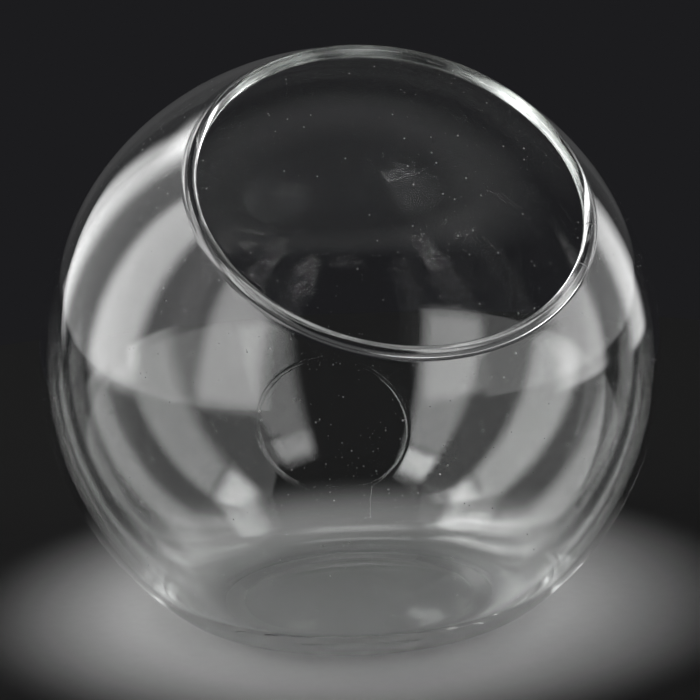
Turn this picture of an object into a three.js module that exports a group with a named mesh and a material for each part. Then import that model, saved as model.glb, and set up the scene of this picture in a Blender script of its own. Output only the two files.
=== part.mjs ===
// A clear glass terrarium: one blown globe, flattened underneath and open at a slant.
//
// The vessel is a single piece of glass, so it is one closed mesh. Its section is one
// outline that starts on the axis under the base, turns up round the heel, climbs the
// outside of the globe, rounds the fire-polished lip and comes down the inside to the axis
// at the floor. That outline is revolved, and then each ring of it swings about the centre
// of the globe: the foot's rings stay level, the lip's rings take the whole slant of the
// mouth, and the rings of the globe between them share the turn out evenly. A ring that
// lies on a sphere stays on it when it swings about the sphere's centre, so the wall keeps
// its true curve and thickness all the way round.
//
// Millimetres, +Z up. The origin is the centre of the foot, on the table. The mouth faces
// -Y.

import * as THREE from "three";
import { mergeVertices } from "three/addons/utils/BufferGeometryUtils.js";

// Driving dimensions
const globeDiameter = 150; // outside of the blown globe
const wallThickness = 1.6; // the globe's wall
const mouthTilt = 33.5; // degrees between the mouth's plane and the table
const mouthDiameter = 95.2; // across the mouth, between the middles of the lip
const lipThickness = 3.1; // diameter of the bead that the flame leaves round the mouth
const lipNeckRadius = 2.5; // hollow curve that runs the wall into that bead
const footDiameter = 66; // outer edge of the flat ring that the vessel stands on
const footWidth = 5; // width of that ring
const puntRise = 1.2; // how far the base is pushed up inside the ring
const heelRadius = 22.4; // outer bend between the foot and the globe
const floorThickness = 2.6; // the glass of the base, above the foot ring
const floorDiameter = 58; // the floor inside, up to where it bends into the wall

// Fineness of the mesh
const segmentsRound = 72;
const globeRings = 16;
const heelRings = 5;
const neckRings = 2;
const lipRings = 9;
const baseRings = 3;

// Sizes that follow from the driving ones
const slant = THREE.MathUtils.degToRad(mouthTilt);
const outerRadius = globeDiameter / 2;
const innerRadius = outerRadius - wallThickness;
const middleRadius = outerRadius - wallThickness / 2;
const lipRadius = lipThickness / 2;
const footRadius = footDiameter / 2;
const puntRadius = footRadius - footWidth;
const floorRadius = floorDiameter / 2;

// How high the globe's centre sits for a level bend of this radius, which starts on the
// table at reach from the axis and runs smoothly into a globe of this size
function centreAbove(globe, bend, reach) {
  return bend + Math.sqrt((globe - bend) ** 2 - reach ** 2);
}

// The bend that leaves a level face this far under the globe's centre, at reach from the
// axis, and runs smoothly into the globe
function bendInto(globe, drop, reach) {
  return (globe ** 2 - drop ** 2 - reach ** 2) / (2 * (globe - drop));
}

const centreHeight = centreAbove(outerRadius, heelRadius, footRadius);
const floorDrop = centreHeight - floorThickness;
const floorBend = bendInto(innerRadius, floorDrop, floorRadius);

// Centres of the arcs of the outline. x is the distance from the axis of the ring and y
// is the height above the globe's centre along that axis.
const globeCentre = new THREE.Vector2(0, 0);
const heelCentre = new THREE.Vector2(footRadius, heelRadius - centreHeight);
const floorBendCentre = new THREE.Vector2(floorRadius, floorBend - floorDrop);
const lipCentre = new THREE.Vector2(mouthDiameter / 2, 0);
lipCentre.y = Math.sqrt(middleRadius ** 2 - lipCentre.x ** 2);

// The centre of a neck curve: it touches the bead from outside, and its distance from the
// globe's centre is chosen so that it also touches one face of the wall
function neckCentre(fromGlobeCentre) {
  const fromLip = lipRadius + lipNeckRadius;
  const toLip = lipCentre.length();
  const cosine =
    (toLip ** 2 + fromGlobeCentre ** 2 - fromLip ** 2) / (2 * toLip * fromGlobeCentre);
  return lipCentre
    .clone()
    .setLength(fromGlobeCentre)
    .rotateAround(globeCentre, -Math.acos(cosine));
}

const innerNeckCentre = neckCentre(innerRadius - lipNeckRadius);
const outerNeckCentre = neckCentre(outerRadius + lipNeckRadius);

// Angles of the outline, anticlockwise from the level direction away from the axis
const halfTurn = Math.PI;
const fullTurn = 2 * Math.PI;
const straightDown = -Math.PI / 2;

function direction(from, to) {
  return Math.atan2(to.y - from.y, to.x - from.x);
}

const outerHeelLatitude = direction(globeCentre, heelCentre);
const innerHeelLatitude = direction(globeCentre, floorBendCentre);
const outerNeckLatitude = direction(globeCentre, outerNeckCentre);
const innerNeckLatitude = direction(globeCentre, innerNeckCentre);

// How much of the mouth's slant a ring takes. The foot and the base stay level, the lip
// and its necks take it all, and a ring of the globe takes a share by its latitude.
const none = () => 0;
const all = () => 1;
const lowestTurned = Math.max(outerHeelLatitude, innerHeelLatitude);
const highestTurned = Math.min(outerNeckLatitude, innerNeckLatitude);
const byLatitude = (latitude) =>
  THREE.MathUtils.clamp((latitude - lowestTurned) / (highestTurned - lowestTurned), 0, 1);

// The outline, as a list of rings
const rings = [];

function addRing(radius, height, turned = 0) {
  rings.push({ radius, height, turned });
}

// Rings along an arc, without its first point, which the piece before it has made
function addArc(centre, radius, from, to, steps, turnedAt) {
  for (let step = 1; step <= steps; step++) {
    const angle = THREE.MathUtils.lerp(from, to, step / steps);
    const x = centre.x + radius * Math.cos(angle);
    const y = centre.y + radius * Math.sin(angle);
    addRing(x, y, turnedAt(angle));
  }
}

// Rings of a shallow dome that rises from edgeHeight at its rim, again without the first
function addDome(from, to, rim, edgeHeight) {
  for (let step = 1; step <= baseRings; step++) {
    const radius = THREE.MathUtils.lerp(from, to, step / baseRings);
    addRing(radius, edgeHeight + puntRise * (1 - (radius / rim) ** 2));
  }
}

// Outside: the pushed-up base, the foot ring, the heel and the globe
addRing(0, puntRise - centreHeight);
addDome(0, puntRadius, puntRadius, -centreHeight);
addRing(footRadius, -centreHeight);
addArc(heelCentre, heelRadius, straightDown, outerHeelLatitude, heelRings, none);
addArc(globeCentre, outerRadius, outerHeelLatitude, outerNeckLatitude, globeRings, byLatitude);

// The lip, between its two necks
const outerNeckToLip = direction(outerNeckCentre, lipCentre) + fullTurn;
const lipToOuterNeck = outerNeckToLip - halfTurn;
const lipToInnerNeck = direction(lipCentre, innerNeckCentre) + fullTurn;
const innerNeckToLip = lipToInnerNeck - halfTurn;
const outerNeckToWall = outerNeckLatitude + halfTurn;
addArc(outerNeckCentre, lipNeckRadius, outerNeckToWall, outerNeckToLip, neckRings, all);
addArc(lipCentre, lipRadius, lipToOuterNeck, lipToInnerNeck, lipRings, all);
addArc(innerNeckCentre, lipNeckRadius, innerNeckToLip, innerNeckLatitude, neckRings, all);

// Inside: the globe, the bend at the foot of the wall and the floor
addArc(globeCentre, innerRadius, innerNeckLatitude, innerHeelLatitude, globeRings, byLatitude);
addArc(floorBendCentre, floorBend, innerHeelLatitude, straightDown, heelRings, none);
addDome(floorRadius, 0, floorRadius, -floorDrop);

// Revolves the outline and swings its rings
function vesselGeometry() {
  const outline = rings.map((ring) => new THREE.Vector2(ring.radius, ring.height));
  const geometry = new THREE.LatheGeometry(outline, segmentsRound);
  geometry.deleteAttribute("normal");
  geometry.deleteAttribute("uv");

  // The revolved outline stands along +Y: it is stood up along +Z
  geometry.rotateX(Math.PI / 2);

  const position = geometry.getAttribute("position");
  const point = new THREE.Vector3();
  const hingeLine = new THREE.Vector3(1, 0, 0);
  for (let index = 0; index < position.count; index++) {
    const ring = rings[index % rings.length];
    point.fromBufferAttribute(position, index);
    point.applyAxisAngle(hingeLine, slant * ring.turned);
    position.setXYZ(index, point.x, point.y, point.z);
  }
  return mergeVertices(geometry);
}

const clearGlass = new THREE.MeshStandardMaterial({
  name: "clear_glass",
  color: 0xe9efee,
  roughness: 0.04,
  metalness: 0,
  transparent: true,
  opacity: 0.3,
});

const bowl = new THREE.Mesh(vesselGeometry(), clearGlass);
bowl.name = "glass_bowl";
bowl.position.z = centreHeight;

const terrarium = new THREE.Group();
terrarium.add(bowl);

export default terrarium;
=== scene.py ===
# %% [markdown]
# # A clear glass terrarium with a slanted mouth
#
# The real vessel is one bubble of glass. It is blown, flattened underneath while it is
# soft, cut open at a slant and held in a flame until the cut edge melts into a round bead.
# So there is only one piece to model here, and nearly all of its looks come from three
# things: how even its wall is, how round its lip is, and what it has around it to reflect.
#
# This lesson draws half of the wall's section as a line, spins it into a vessel, swings the
# rings of the vessel until the mouth slants, and then gives it a glass finish, soft lamps
# and a camera. Blender works in metres, so every size below is in metres.

# %% The measured frame
import math

import bmesh
import bpy
from mathutils import Matrix, Vector


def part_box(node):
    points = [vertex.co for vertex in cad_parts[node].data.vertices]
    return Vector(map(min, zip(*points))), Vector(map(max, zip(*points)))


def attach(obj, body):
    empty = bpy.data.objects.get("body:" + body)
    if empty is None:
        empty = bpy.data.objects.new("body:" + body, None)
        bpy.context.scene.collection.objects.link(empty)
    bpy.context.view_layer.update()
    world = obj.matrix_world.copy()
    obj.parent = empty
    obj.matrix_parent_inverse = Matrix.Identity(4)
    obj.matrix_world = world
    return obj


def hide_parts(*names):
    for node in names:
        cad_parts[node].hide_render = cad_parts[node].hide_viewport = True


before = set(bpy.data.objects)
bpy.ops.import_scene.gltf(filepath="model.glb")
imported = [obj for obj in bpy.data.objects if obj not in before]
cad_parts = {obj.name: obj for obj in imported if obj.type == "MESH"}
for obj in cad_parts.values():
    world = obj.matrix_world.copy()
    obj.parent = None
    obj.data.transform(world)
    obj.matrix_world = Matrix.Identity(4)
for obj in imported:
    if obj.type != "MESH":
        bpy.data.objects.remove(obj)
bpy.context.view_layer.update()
bowl_low, bowl_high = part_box("glass_bowl")
print("the measured bowl is", [round(1000 * size, 2) for size in bowl_high - bowl_low], "mm")

# %% [markdown]
# ## Sizes
#
# The globe is 150 mm across. Its wall is thin, 1.6 mm, and only the lip and the base are
# thicker: the flame gathers the lip into a 3.1 mm bead, and the base keeps more glass
# because it cools first on the flat plate that shapes it. The base is pushed up slightly
# in the middle, so the vessel stands on a narrow ring and doesn't rock.
#
# Named sizes, rather than numbers inside the calls, let one value be changed and the whole
# shape follow it.

# %% Sizes of the vessel
GLOBE_RADIUS = 0.075
WALL = 0.0016
MOUTH_SLANT = math.radians(33.5)
MOUTH_RADIUS = 0.0476  # to the middle of the lip's bead
LIP_RADIUS = 0.00155
NECK_RADIUS = 0.0025  # hollow curve between the wall and the bead
FOOT_RADIUS = 0.033  # outer edge of the ring that touches the table
FOOT_WIDTH = 0.005
PUNT_RISE = 0.0012  # how far the base is pushed up inside the foot ring
HEEL_RADIUS = 0.0224
FLOOR_GLASS = 0.0026
FLOOR_RADIUS = 0.029

inner_radius = GLOBE_RADIUS - WALL
middle_radius = GLOBE_RADIUS - WALL / 2
print("the wall is", round(1000 * WALL, 2), "mm and the lip",
      round(2000 * LIP_RADIUS, 2), "mm")

# %% [markdown]
# ## Where the bends of the wall have their centres
#
# The wall's section is made of circle arcs, because that is what soft glass does: it bends
# evenly. Each arc has to run smoothly into the next one, and two circles do that when the
# line through their centres also goes through the point where they meet. That rule gives
# the height of the globe over the table, the bend of the floor, and the two small hollow
# curves under the lip. x is the distance from the middle of the vessel, and z is the height
# over the globe's centre.

# %% Centres of the arcs
globe_height = HEEL_RADIUS + math.sqrt((GLOBE_RADIUS - HEEL_RADIUS) ** 2 - FOOT_RADIUS**2)
floor_drop = globe_height - FLOOR_GLASS
floor_bend = (inner_radius**2 - floor_drop**2 - FLOOR_RADIUS**2) / (
    2 * (inner_radius - floor_drop)
)


def in_section(x, z):
    """A point of the section, which is drawn in the upright plane through the middle"""
    return Vector((x, 0, z))


globe_centre = in_section(0, 0)
heel_centre = in_section(FOOT_RADIUS, HEEL_RADIUS - globe_height)
floor_bend_centre = in_section(FLOOR_RADIUS, floor_bend - floor_drop)
lip_centre = in_section(MOUTH_RADIUS, math.sqrt(middle_radius**2 - MOUTH_RADIUS**2))


def climb(start, end):
    """Angle of the line from start to end over the level, anticlockwise"""
    return math.atan2(end.z - start.z, end.x - start.x)


def neck_centre(from_globe):
    """Centre of a hollow curve that touches the lip, this far from the globe's centre"""
    to_lip = lip_centre.length
    from_lip = LIP_RADIUS + NECK_RADIUS
    opening = math.acos((to_lip**2 + from_globe**2 - from_lip**2) / (2 * to_lip * from_globe))
    angle = climb(globe_centre, lip_centre) - opening
    return in_section(from_globe * math.cos(angle), from_globe * math.sin(angle))


outer_neck_centre = neck_centre(GLOBE_RADIUS + NECK_RADIUS)
inner_neck_centre = neck_centre(inner_radius - NECK_RADIUS)
print("the globe's centre is", round(1000 * globe_height, 2), "mm over the table")

# %% [markdown]
# ## Drawing the section with a spun point
#
# One point is enough to draw the whole section. `bmesh.ops.spin` usually turns a profile
# into a round body, but it turns a single point into an arc, and the last point of that arc
# is the first point of the next one. The line goes once round the glass: out along the
# underside, up the heel and the globe, round the lip, down the inside and back to the
# middle of the floor.
#
# Fine steps matter more for glass than for anything opaque, since light is bent twice by
# each wall and a coarse outline would show as facets in what is seen through it.

# %% Section of the wall
STEPS_PUNT = 10
STEPS_HEEL = 22
STEPS_GLOBE = 70
STEPS_NECK = 8
STEPS_LIP = 32
ANTICLOCKWISE = (0, -1, 0)  # seen from the front, where x goes right and z goes up
DOWN = -math.pi / 2

glass = bmesh.new()
tip = glass.verts.new(in_section(0, PUNT_RISE - globe_height))


def draw_arc(start, centre, angle, steps):
    """Spins the line's last point round a centre and returns the new last point"""
    spun = bmesh.ops.spin(
        glass, geom=[start], cent=centre, axis=ANTICLOCKWISE, angle=angle, steps=steps,
        use_merge=False,
    )
    return next(item for item in spun["geom_last"] if isinstance(item, bmesh.types.BMVert))


def shallow_dome(radius, rise):
    """Radius of the big circle, and the angle of it, that rises this much over its edge"""
    big_radius = (radius**2 + rise**2) / (2 * rise)
    return big_radius, math.asin(radius / big_radius)


def shortest_turn(start, end):
    """The turn from one angle to another, less than half a turn either way"""
    return (end - start + math.pi) % (2 * math.pi) - math.pi


punt_radius = FOOT_RADIUS - FOOT_WIDTH
punt_circle, punt_angle = shallow_dome(punt_radius, PUNT_RISE)
punt_centre = in_section(0, PUNT_RISE - globe_height - punt_circle)
tip = draw_arc(tip, punt_centre, -punt_angle, STEPS_PUNT)

ring = bmesh.ops.extrude_vert_indiv(glass, verts=[tip])
bmesh.ops.translate(glass, verts=ring["verts"], vec=(FOOT_WIDTH, 0, 0))
tip = ring["verts"][0]

outer_heel = climb(globe_centre, heel_centre)
inner_heel = climb(globe_centre, floor_bend_centre)
outer_neck = climb(globe_centre, outer_neck_centre)
inner_neck = climb(globe_centre, inner_neck_centre)
outer_neck_to_lip = climb(outer_neck_centre, lip_centre)
lip_to_inner_neck = climb(lip_centre, inner_neck_centre)

tip = draw_arc(tip, heel_centre, outer_heel - DOWN, STEPS_HEEL)
tip = draw_arc(tip, globe_centre, outer_neck - outer_heel, STEPS_GLOBE)
turn = shortest_turn(outer_neck + math.pi, outer_neck_to_lip)
tip = draw_arc(tip, outer_neck_centre, turn, STEPS_NECK)
turn = (lip_to_inner_neck - outer_neck_to_lip - math.pi) % (2 * math.pi)
tip = draw_arc(tip, lip_centre, turn, STEPS_LIP)
turn = shortest_turn(lip_to_inner_neck + math.pi, inner_neck)
tip = draw_arc(tip, inner_neck_centre, turn, STEPS_NECK)
tip = draw_arc(tip, globe_centre, inner_heel - inner_neck, STEPS_GLOBE)
tip = draw_arc(tip, floor_bend_centre, DOWN - inner_heel, STEPS_HEEL)

floor_circle, floor_angle = shallow_dome(FLOOR_RADIUS, PUNT_RISE)
floor_centre = in_section(0, PUNT_RISE - floor_drop - floor_circle)
tip = draw_arc(tip, floor_centre, floor_angle, STEPS_PUNT)
print("the section has", len(glass.verts), "points and ends",
      round(1000 * tip.co.x, 3), "mm from the middle")

# %% [markdown]
# ## Spinning the section into a vessel
#
# A full turn of the section gives the vessel with a level mouth. `use_merge` joins the last
# copy of the section to the first, and `remove_doubles` gathers the many copies of its two
# end points, which lie on the axis, into one point each. The faces are then turned to look
# out of the glass.

# %% A vessel with a level mouth
SEGMENTS = 256
SAME_PLACE = 1e-6

bmesh.ops.spin(
    glass, geom=glass.verts[:] + glass.edges[:], cent=globe_centre, axis=(0, 0, 1),
    angle=2 * math.pi, steps=SEGMENTS, use_merge=True,
)
bmesh.ops.remove_doubles(glass, verts=glass.verts, dist=SAME_PLACE)
bmesh.ops.recalc_face_normals(glass, faces=glass.faces)
print("the level vessel has", len(glass.faces), "faces and",
      sum(not edge.is_manifold for edge in glass.edges), "open edges")

# %% [markdown]
# ## Swinging the mouth
#
# The mouth leans forward by 33.5 degrees while the foot stays level. Shearing or bending
# the mesh would squash the globe, but a ring that lies on a sphere stays on it when it
# swings about the sphere's centre. So the rings under the heel stay where they are, the
# rings of the lip take the whole slant, and the rings of the globe between them share it
# out by their latitude. The wall keeps its curve and its thickness everywhere.

# %% The slanted mouth
lowest_turned = max(outer_heel, inner_heel)
highest_turned = min(outer_neck, inner_neck)
LATITUDE_PLACES = 5  # decimals by which rings of the same latitude are told apart

rings = {}
for vertex in glass.verts:
    level = math.hypot(vertex.co.x, vertex.co.y)
    latitude = math.atan2(vertex.co.z, level)
    share = (latitude - lowest_turned) / (highest_turned - lowest_turned)
    share = round(min(max(share, 0), 1), LATITUDE_PLACES)
    rings.setdefault(share, []).append(vertex)

for share, vertices in rings.items():
    swing = Matrix.Rotation(MOUTH_SLANT * share, 3, "X")
    bmesh.ops.rotate(glass, verts=vertices, cent=globe_centre, matrix=swing)
print("swung", len(rings), "groups of rings")

# %% [markdown]
# ## Setting it down
#
# The vessel is drawn about the globe's centre, so it is lifted by the height of that centre
# to stand on the table. The measured frame is a little coarser, with flats where this mesh
# is round, and the vessel is kept inside its box by a scale that differs from 1 by less
# than two tenths of a percent. Smooth shading then gives every point its own direction.

# %% The finished bowl
bmesh.ops.translate(glass, verts=glass.verts, vec=(0, 0, globe_height))
reach = [max(abs(vertex.co[axis]) for vertex in glass.verts) for axis in range(3)]
room = [min(-bowl_low.x, bowl_high.x), min(-bowl_low.y, bowl_high.y), bowl_high.z]
fit = min(1, *(free / used for free, used in zip(room, reach)))
bmesh.ops.scale(glass, verts=glass.verts, vec=(fit, fit, fit))
for face in glass.faces:
    face.smooth = True

bowl_mesh = bpy.data.meshes.new("blown_globe")
glass.to_mesh(bowl_mesh)
glass.free()
bowl = bpy.data.objects.new("blown_globe", bowl_mesh)
bpy.context.collection.objects.link(bowl)
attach(bowl, "root")
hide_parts("glass_bowl")
print("scaled by", round(fit, 5), "to stay inside the measured box")

# %% [markdown]
# ## The glass itself
#
# Clean soda-lime glass bends light by 1.5 and is nearly colourless. Its body takes away a
# little of the light that crosses it, a little less of the green than of the rest, so the
# thin wall looks clear and the thick lip and base are a breath darker. What tells real glass
# from a computer's perfect glass is small: the blown wall is slightly uneven, so reflections
# waver, fingers leave soft smudges, and dust and tiny pits catch the light as bright specks.
# All of that is made of noise on Object coordinates, so it stays in place on the glass.
# Lengths are in metres and shares are parts of 1.

# %% Helpers for a procedural finish
DOT_CORE = 0.4  # share of a dot's radius within which the dot is at its full


def add_node(tree, kind, **settings):
    """A node of this kind with its settings and input values, given by name"""
    node = tree.nodes.new("ShaderNode" + kind)
    for key, value in settings.items():
        if hasattr(node, key):
            setattr(node, key, value)
        else:
            node.inputs[key.replace("_", " ")].default_value = value
    return node


def from_range(tree, value, low, high, out_low=0.0, out_high=1.0):
    """Follows a value from low to high with a soft start and end"""
    node = add_node(tree, "MapRange", interpolation_type="SMOOTHSTEP")
    tree.links.new(value, node.inputs["Value"])
    for name, number in zip(("From Min", "From Max", "To Min", "To Max"),
                            (low, high, out_low, out_high)):
        node.inputs[name].default_value = number
    return node.outputs["Result"]


def combine(tree, operation, first, second):
    """One step of arithmetic on two values or sockets"""
    node = add_node(tree, "Math", operation=operation)
    for socket, value in zip(node.inputs, (first, second)):
        if isinstance(value, (int, float)):
            socket.default_value = value
        else:
            tree.links.new(value, socket)
    return node.outputs["Value"]


def noise(tree, place, size, detail=2.0):
    """Smooth noise whose blotches are about this many metres across"""
    node = add_node(tree, "TexNoise", Scale=1 / size, Detail=detail)
    tree.links.new(place, node.inputs["Vector"])
    return node.outputs["Fac"]


def specks(tree, place, spacing, radius, share):
    """Round dots of about this radius, in this share of the cells of a jumbled grid"""
    cells = add_node(tree, "TexVoronoi", Scale=1 / spacing)
    tree.links.new(place, cells.inputs["Vector"])
    edge = radius / spacing
    dot = from_range(tree, cells.outputs["Distance"], edge, DOT_CORE * edge)
    chance = add_node(tree, "SeparateColor")
    tree.links.new(cells.outputs["Color"], chance.inputs["Color"])
    chosen = combine(tree, "LESS_THAN", chance.outputs["Red"], share)
    return combine(tree, "MULTIPLY", dot, chosen)


print("helpers ready")

# %% Clear blown glass
BENDING = 1.5  # index of refraction
DULLEST = (0.965, 0.974, 0.968, 1)
CLEAREST = (0.985, 0.989, 0.986, 1)
TINT_PATCH = 0.05
DUST_SPACING, DUST_RADIUS, DUST_SHARE = 0.004, 0.00022, 0.9
PIT_SPACING, PIT_RADIUS, PIT_SHARE = 0.0015, 0.00009, 0.5
PIT_STRENGTH = 0.6  # of a dust grain's
SPECK_ROUGHNESS = 0.8
SMUDGE_SIZE = 0.018
SMUDGE_FROM, SMUDGE_FULL = 0.56, 0.72  # of the noise, so only its peaks are smudged
SMUDGE_ROUGHNESS = 0.025
WAVER_LENGTH, WAVER_HEIGHT = 0.022, 0.00003
GRIT_HEIGHT, GRIT_STRENGTH = 0.0001, 0.6
BODY_COLOUR = (0.637, 0.66, 0.643, 1)
BODY_DENSITY = 6.0  # per metre, shared out by how far each colour is from 1

glass_finish = bpy.data.materials.new("clear_blown_glass")
glass_finish.use_nodes = True
tree = glass_finish.node_tree
shader = tree.nodes["Principled BSDF"]
shader.inputs["IOR"].default_value = BENDING
shader.inputs["Transmission Weight"].default_value = 1.0
place = add_node(tree, "TexCoord").outputs["Object"]

tint = add_node(tree, "ValToRGB")
tint.color_ramp.elements[0].color = DULLEST
tint.color_ramp.elements[1].color = CLEAREST
tree.links.new(noise(tree, place, TINT_PATCH), tint.inputs["Fac"])
tree.links.new(tint.outputs["Color"], shader.inputs["Base Color"])

dust = specks(tree, place, DUST_SPACING, DUST_RADIUS, DUST_SHARE)
pits = specks(tree, place, PIT_SPACING, PIT_RADIUS, PIT_SHARE)
dusty = combine(tree, "MAXIMUM", dust, combine(tree, "MULTIPLY", pits, PIT_STRENGTH))
fingers = noise(tree, place, SMUDGE_SIZE, 4)
smudges = from_range(tree, fingers, SMUDGE_FROM, SMUDGE_FULL, 0.0, SMUDGE_ROUGHNESS)
speckled = combine(tree, "MULTIPLY", dusty, SPECK_ROUGHNESS)
tree.links.new(combine(tree, "ADD", speckled, smudges), shader.inputs["Roughness"])

waver = add_node(tree, "Bump", Strength=1.0, Distance=WAVER_HEIGHT)
tree.links.new(noise(tree, place, WAVER_LENGTH, 1.0), waver.inputs["Height"])
grit = add_node(tree, "Bump", Strength=GRIT_STRENGTH, Distance=GRIT_HEIGHT)
tree.links.new(dusty, grit.inputs["Height"])
tree.links.new(waver.outputs["Normal"], grit.inputs["Normal"])
tree.links.new(grit.outputs["Normal"], shader.inputs["Normal"])

body = add_node(tree, "VolumeAbsorption", Density=BODY_DENSITY)
body.inputs["Color"].default_value = BODY_COLOUR
tree.links.new(body.outputs["Volume"], tree.nodes["Material Output"].inputs["Volume"])
bowl_mesh.materials.append(glass_finish)
print("the glass finish has", len(tree.nodes), "nodes")

# %% [markdown]
# ## The floor
#
# Clear glass shows whatever lies behind it, so the floor is part of its looks. A pale
# floor carries the vessel, and a pool of light is painted into its colour: the colour fades
# to a painted dark with distance, like a table in a pool of light in a dark room, so that
# the globe stands before the dark and its bright edges and the lamps' reflections can be
# seen. The painted fade multiplies the pale colour by a share that falls with the distance
# from the middle. The floor is matt, so that it mirrors no lamp when it is seen from low down.

# %% Pale floor with a painted pool of light
FLOOR_REACH = 0.25
FLOOR_SIDES = 96
FLOOR_TONES = (0.50, 0.54)
FLOOR_GRAIN = 0.003
# the painted pool of light: fully pale up to the first distance, faded to painted shade by the
# second
PAINTED_POOL_FULL_TO = 0.02
PAINTED_POOL_GONE_BY = 0.1
PAINTED_SHADE_SHARE = 0.02  # of the pale colour, left where the pool of light has ended

ground = bmesh.new()
bmesh.ops.create_circle(ground, cap_ends=True, segments=FLOOR_SIDES, radius=FLOOR_REACH)
ground_mesh = bpy.data.meshes.new("pale_floor")
ground.to_mesh(ground_mesh)
ground.free()
pale_floor = bpy.data.objects.new("pale_floor", ground_mesh)
bpy.context.collection.objects.link(pale_floor)

floor_with_painted_pool = bpy.data.materials.new("pale_floor_with_painted_pool")
floor_with_painted_pool.use_nodes = True
tree = floor_with_painted_pool.node_tree
shader = tree.nodes["Principled BSDF"]
shader.inputs["Roughness"].default_value = 0.7
shader.inputs["Specular IOR Level"].default_value = 0.0
place = add_node(tree, "TexCoord").outputs["Object"]
shade = add_node(tree, "ValToRGB")
for stop, tone in zip(shade.color_ramp.elements, FLOOR_TONES):
    stop.color = (tone, tone, tone, 1)
tree.links.new(noise(tree, place, FLOOR_GRAIN, 3), shade.inputs["Fac"])
distance = add_node(tree, "VectorMath", operation="LENGTH")
tree.links.new(place, distance.inputs[0])
# paints the pool of light: a share of the pale colour that falls with distance, down to
# painted shade
painted_light_pool = from_range(tree, distance.outputs["Value"], PAINTED_POOL_GONE_BY, PAINTED_POOL_FULL_TO, PAINTED_SHADE_SHARE)
painted_pool_colour = add_node(tree, "VectorMath", operation="SCALE")
tree.links.new(shade.outputs["Color"], painted_pool_colour.inputs["Vector"])
tree.links.new(painted_light_pool, painted_pool_colour.inputs["Scale"])
tree.links.new(painted_pool_colour.outputs["Vector"], shader.inputs["Base Color"])
ground_mesh.materials.append(floor_with_painted_pool)
print("the floor is pale up to", PAINTED_POOL_FULL_TO, "m and gone by", PAINTED_POOL_GONE_BY, "m")

# %% [markdown]
# ## Camera
#
# The camera stands 17 degrees over the table, a long way back with a long lens, so the
# globe hardly widens towards it. It looks from the left of the mouth, which is why the
# mouth leans to the right in the picture, and it is rolled by two degrees, as a camera is
# that isn't quite level. It looks at the middle of the globe, and the lens is shifted by a
# hundredth of the picture, which only moves the globe a little down in the frame.

# %% Camera
CAMERA_DISTANCE = 20 * GLOBE_RADIUS
CAMERA_HEIGHT = math.radians(17)
CAMERA_AZIMUTH = math.radians(-20.1)
CAMERA_ROLL = math.radians(-2.1)
PICTURE = 700
GLOBE_IN_PICTURE = 311.6  # pixels of the globe's radius
GLOBE_CENTRE_IN_PICTURE = (350.2, 356.6)
SENSOR = 36

globe_middle = Vector((0, 0, globe_height))
towards_camera = Vector((
    math.sin(CAMERA_AZIMUTH) * math.cos(CAMERA_HEIGHT),
    -math.cos(CAMERA_AZIMUTH) * math.cos(CAMERA_HEIGHT),
    math.sin(CAMERA_HEIGHT),
))
camera_right = Vector((math.cos(CAMERA_AZIMUTH), math.sin(CAMERA_AZIMUTH), 0))
camera_up = towards_camera.cross(camera_right)
distance_in_radii = CAMERA_DISTANCE / GLOBE_RADIUS
# a globe looks a little larger than a disc of its radius, since its edge lies nearer
edge_gain = distance_in_radii / math.sqrt(distance_in_radii**2 - 1)
picture_width = PICTURE / GLOBE_IN_PICTURE * edge_gain * GLOBE_RADIUS

lens = bpy.data.cameras.new("camera")
lens.sensor_width = SENSOR
lens.lens = SENSOR * CAMERA_DISTANCE / picture_width
lens.shift_x = (PICTURE / 2 - GLOBE_CENTRE_IN_PICTURE[0]) / PICTURE
lens.shift_y = (GLOBE_CENTRE_IN_PICTURE[1] - PICTURE / 2) / PICTURE
camera = bpy.data.objects.new("camera", lens)
bpy.context.collection.objects.link(camera)
facing = Matrix((camera_right, camera_up, towards_camera)).transposed().to_4x4()
stand = Matrix.Translation(globe_middle + towards_camera * CAMERA_DISTANCE)
camera.matrix_world = stand @ facing @ Matrix.Rotation(CAMERA_ROLL, 4, "Z")
bpy.context.scene.camera = camera
print("the lens is", round(lens.lens), "mm at", CAMERA_DISTANCE, "m")

# %% [markdown]
# ## Soft lamps
#
# Polished glass has no colour of its own to show. It is drawn by the reflections of what
# stands round it: upright in its front wall and, upside down and fainter, in its back wall.
# So the lamps are laid out like furniture. Six tall soft boxes stand round the vessel, 45 to
# 70 cm from it: one pair just behind it draws the bright crescents along its edges, one pair
# beside it the wide bands, and one pair in front the inner bands. Five of them have a second
# panel over their upper half, where a soft box is brightest, and that puts the hot spots into
# the base. Two dim walls behind the boxes fill the gaps with grey, and a very faint one stands
# at the rear. Two panels high at the rear brighten the far side of the lip. Nothing stands
# straight in front, so the middle of the globe stays dark.
#
# Each panel stands upright and faces the vessel. Its row gives, in degrees and metres, the
# way round from the camera, the distance from the vessel's axis, half the width, the heights
# of the lower and the upper edge over the table, and the strength. Then come the fades
# towards the front, the rear, the top and the bottom, as shares of half the panel's size. A
# last number, where there is one, is how far the lower rear corner is raised.

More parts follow.
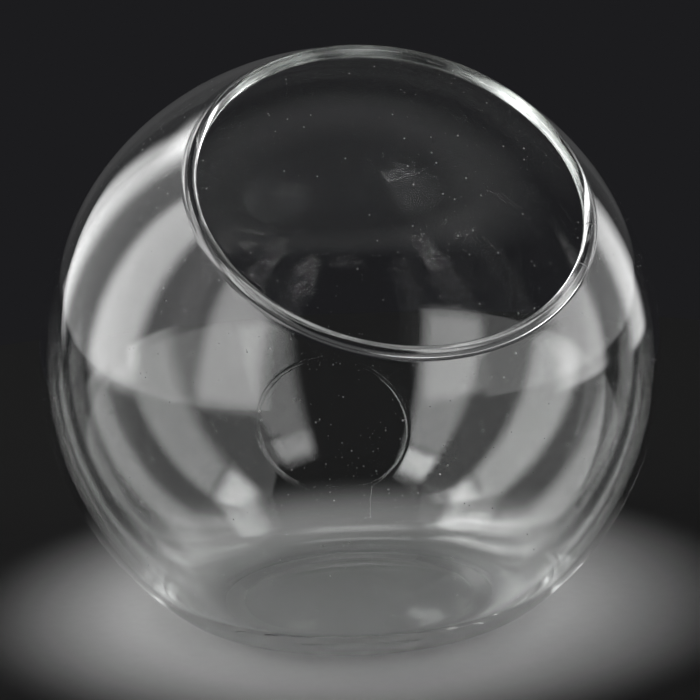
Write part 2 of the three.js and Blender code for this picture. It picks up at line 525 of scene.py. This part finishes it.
# %% Soft boxes
# round, distance, half width, low, high, strength, (front, rear, top, bottom fade), raised
SOFT_BOXES = {
    "rear_wall": (180, 0.75, 0.8, 0, 0.9, 0.045, (0.1, 0.1, 0.6, 0.01)),
    "left_wall": (-84, 0.75, 1.15, 0, 1.7, 0.75, (0.1, 0.06, 0.1, 0.01)),
    "right_wall": (95, 0.75, 0.85, 0, 1.5, 0.75, (0.1, 0.1, 0.1, 0.01)),
    "left_rear": (-134, 0.45, 0.105, -0.01, 0.94, 1.95, (0.75, 0.7, 0.25, 0.02), 0.19),
    "left_rear_top": (-134, 0.45, 0.105, 0.49, 0.8, 3.3, (0.75, 0.75, 0.9, 0.9)),
    "left_side": (-93.5, 0.53, 0.157, -0.01, 1.5, 3.7, (0.55, 0.55, 0.55, 0.09)),
    "left_side_top": (-93.5, 0.53, 0.157, 0.64, 1.15, 4.9, (0.55, 0.55, 1, 0.6)),
    "left_front": (-43.5, 0.7, 0.19, -0.02, 1.6, 2.5, (0.5, 0.5, 0.25, 0.13)),
    "left_front_top": (-43.5, 0.7, 0.19, 0.88, 1.47, 5.4, (0.5, 0.5, 1, 0.5)),
    "right_front": (35.8, 0.7, 0.193, 0.03, 1.15, 1.7, (0.6, 0.6, 0.25, 0.1)),
    "right_front_top": (35.8, 0.7, 0.193, 0.7, 1.08, 2.6, (0.6, 0.6, 1, 0.5)),
    "right_side": (88, 0.55, 0.16, -0.021, 1, 2.4, (0.75, 0.45, 0.25, 0.03)),
    "right_side_top": (88, 0.55, 0.16, 0.55, 0.95, 4.7, (0.65, 0.45, 0.9, 0.55)),
    "right_rear": (125.5, 0.45, 0.088, -0.016, 0.7, 1.75, (0.75, 0.75, 0.3, 0.04)),
    "rear_high": (180, 0.45, 0.2, 0.62, 1.05, 3, (0.8, 0.8, 0.8, 0.8)),
    "left_rear_high": (-143, 0.6, 0.15, 0.36, 1.2, 5, (0.8, 0.8, 0.5, 0.5)),
}


def soft_light(strength, fade_across, fade_along):
    """An emission that is full in the middle of a panel and fades towards its edges"""
    light = bpy.data.materials.new("soft_box_light")
    light.use_nodes = True
    tree = light.node_tree
    tree.nodes.clear()
    across = add_node(tree, "SeparateXYZ")
    tree.links.new(add_node(tree, "TexCoord").outputs["Object"], across.inputs["Vector"])
    level = strength
    for name, fades in (("X", fade_across), ("Y", fade_along)):
        for sign, part in zip((1, -1), fades):
            off_middle = combine(tree, "MULTIPLY", across.outputs[name], sign)
            level = combine(tree, "MULTIPLY", from_range(tree, off_middle, 1, 1 - part), level)
    emission = add_node(tree, "Emission")
    tree.links.new(level, emission.inputs["Strength"])
    # a clear panel adds its light to what is behind it, so the boxes don't hide one another
    passing = add_node(tree, "AddShader")
    tree.links.new(emission.outputs["Emission"], passing.inputs[0])
    clear = add_node(tree, "BsdfTransparent")
    tree.links.new(clear.outputs["BSDF"], passing.inputs[1])
    output = add_node(tree, "OutputMaterial")
    tree.links.new(passing.outputs["Shader"], output.inputs["Surface"])
    return light


def soft_box(name, azimuth, distance, half_width, bottom, top, strength, fades, cut=0.0):
    """A glowing upright panel that faces the vessel; cut raises its lower rear corner"""
    around = math.radians(azimuth)
    ahead = Vector((math.sin(CAMERA_AZIMUTH), -math.cos(CAMERA_AZIMUTH), 0))
    outwards = ahead * math.cos(around) + camera_right * math.sin(around)
    across = Vector((0, 0, 1)).cross(outwards)
    panel = bmesh.new()
    bmesh.ops.create_grid(panel, x_segments=1, y_segments=1, size=1)
    for corner in panel.verts:
        if corner.co.y < 0 and corner.co.x * azimuth > 0:
            corner.co.y += 2 * cut / (top - bottom)
    mesh = bpy.data.meshes.new(name)
    panel.to_mesh(mesh)
    panel.free()
    front, rear, upper, lower = fades
    fade_across = (front, rear) if azimuth < 0 else (rear, front)
    mesh.materials.append(soft_light(strength, fade_across, (upper, lower)))
    box = bpy.data.objects.new(name, mesh)
    bpy.context.collection.objects.link(box)
    facing = Matrix((across, Vector((0, 0, 1)), outwards)).transposed().to_4x4()
    middle = outwards * distance + Vector((0, 0, (bottom + top) / 2))
    size = Matrix.Diagonal((half_width, (top - bottom) / 2, 1, 1))
    box.matrix_world = Matrix.Translation(middle) @ facing @ size
    box.visible_camera = False
    box.visible_shadow = False
    return box


for name, settings in SOFT_BOXES.items():
    soft_box(name, *settings)
print("placed", len(SOFT_BOXES), "soft boxes")

# %% [markdown]
# ## The dark room
#
# The room behind the vessel is nearly black, so the glass stands out by its bright edges.
#
# Glass carries light along inside its wall as a glass fibre does: a ray that has entered it
# bounces from face to face many times before it comes out, mostly at the lip. Blender gives
# up on a ray after about a dozen bounces and calls the rest black, which would leave dark
# gaps in the lip, so the rays are followed much further here.

# %% Room and long ways of light
ROOM_COLOUR = (0.0116, 0.0116, 0.013, 1)
world = bpy.data.worlds.new("dark_room")
bpy.context.scene.world = world
world.use_nodes = True
world.node_tree.nodes["Background"].inputs["Color"].default_value = ROOM_COLOUR
world.node_tree.nodes["Background"].inputs["Strength"].default_value = 1.0
bpy.context.scene.view_settings.view_transform = "Standard"

LONGEST_WAY = 200
light_paths = bpy.context.scene.cycles
light_paths.max_bounces = LONGEST_WAY
light_paths.transmission_bounces = LONGEST_WAY
light_paths.glossy_bounces = LONGEST_WAY
print("rays are followed for up to", LONGEST_WAY, "bounces")
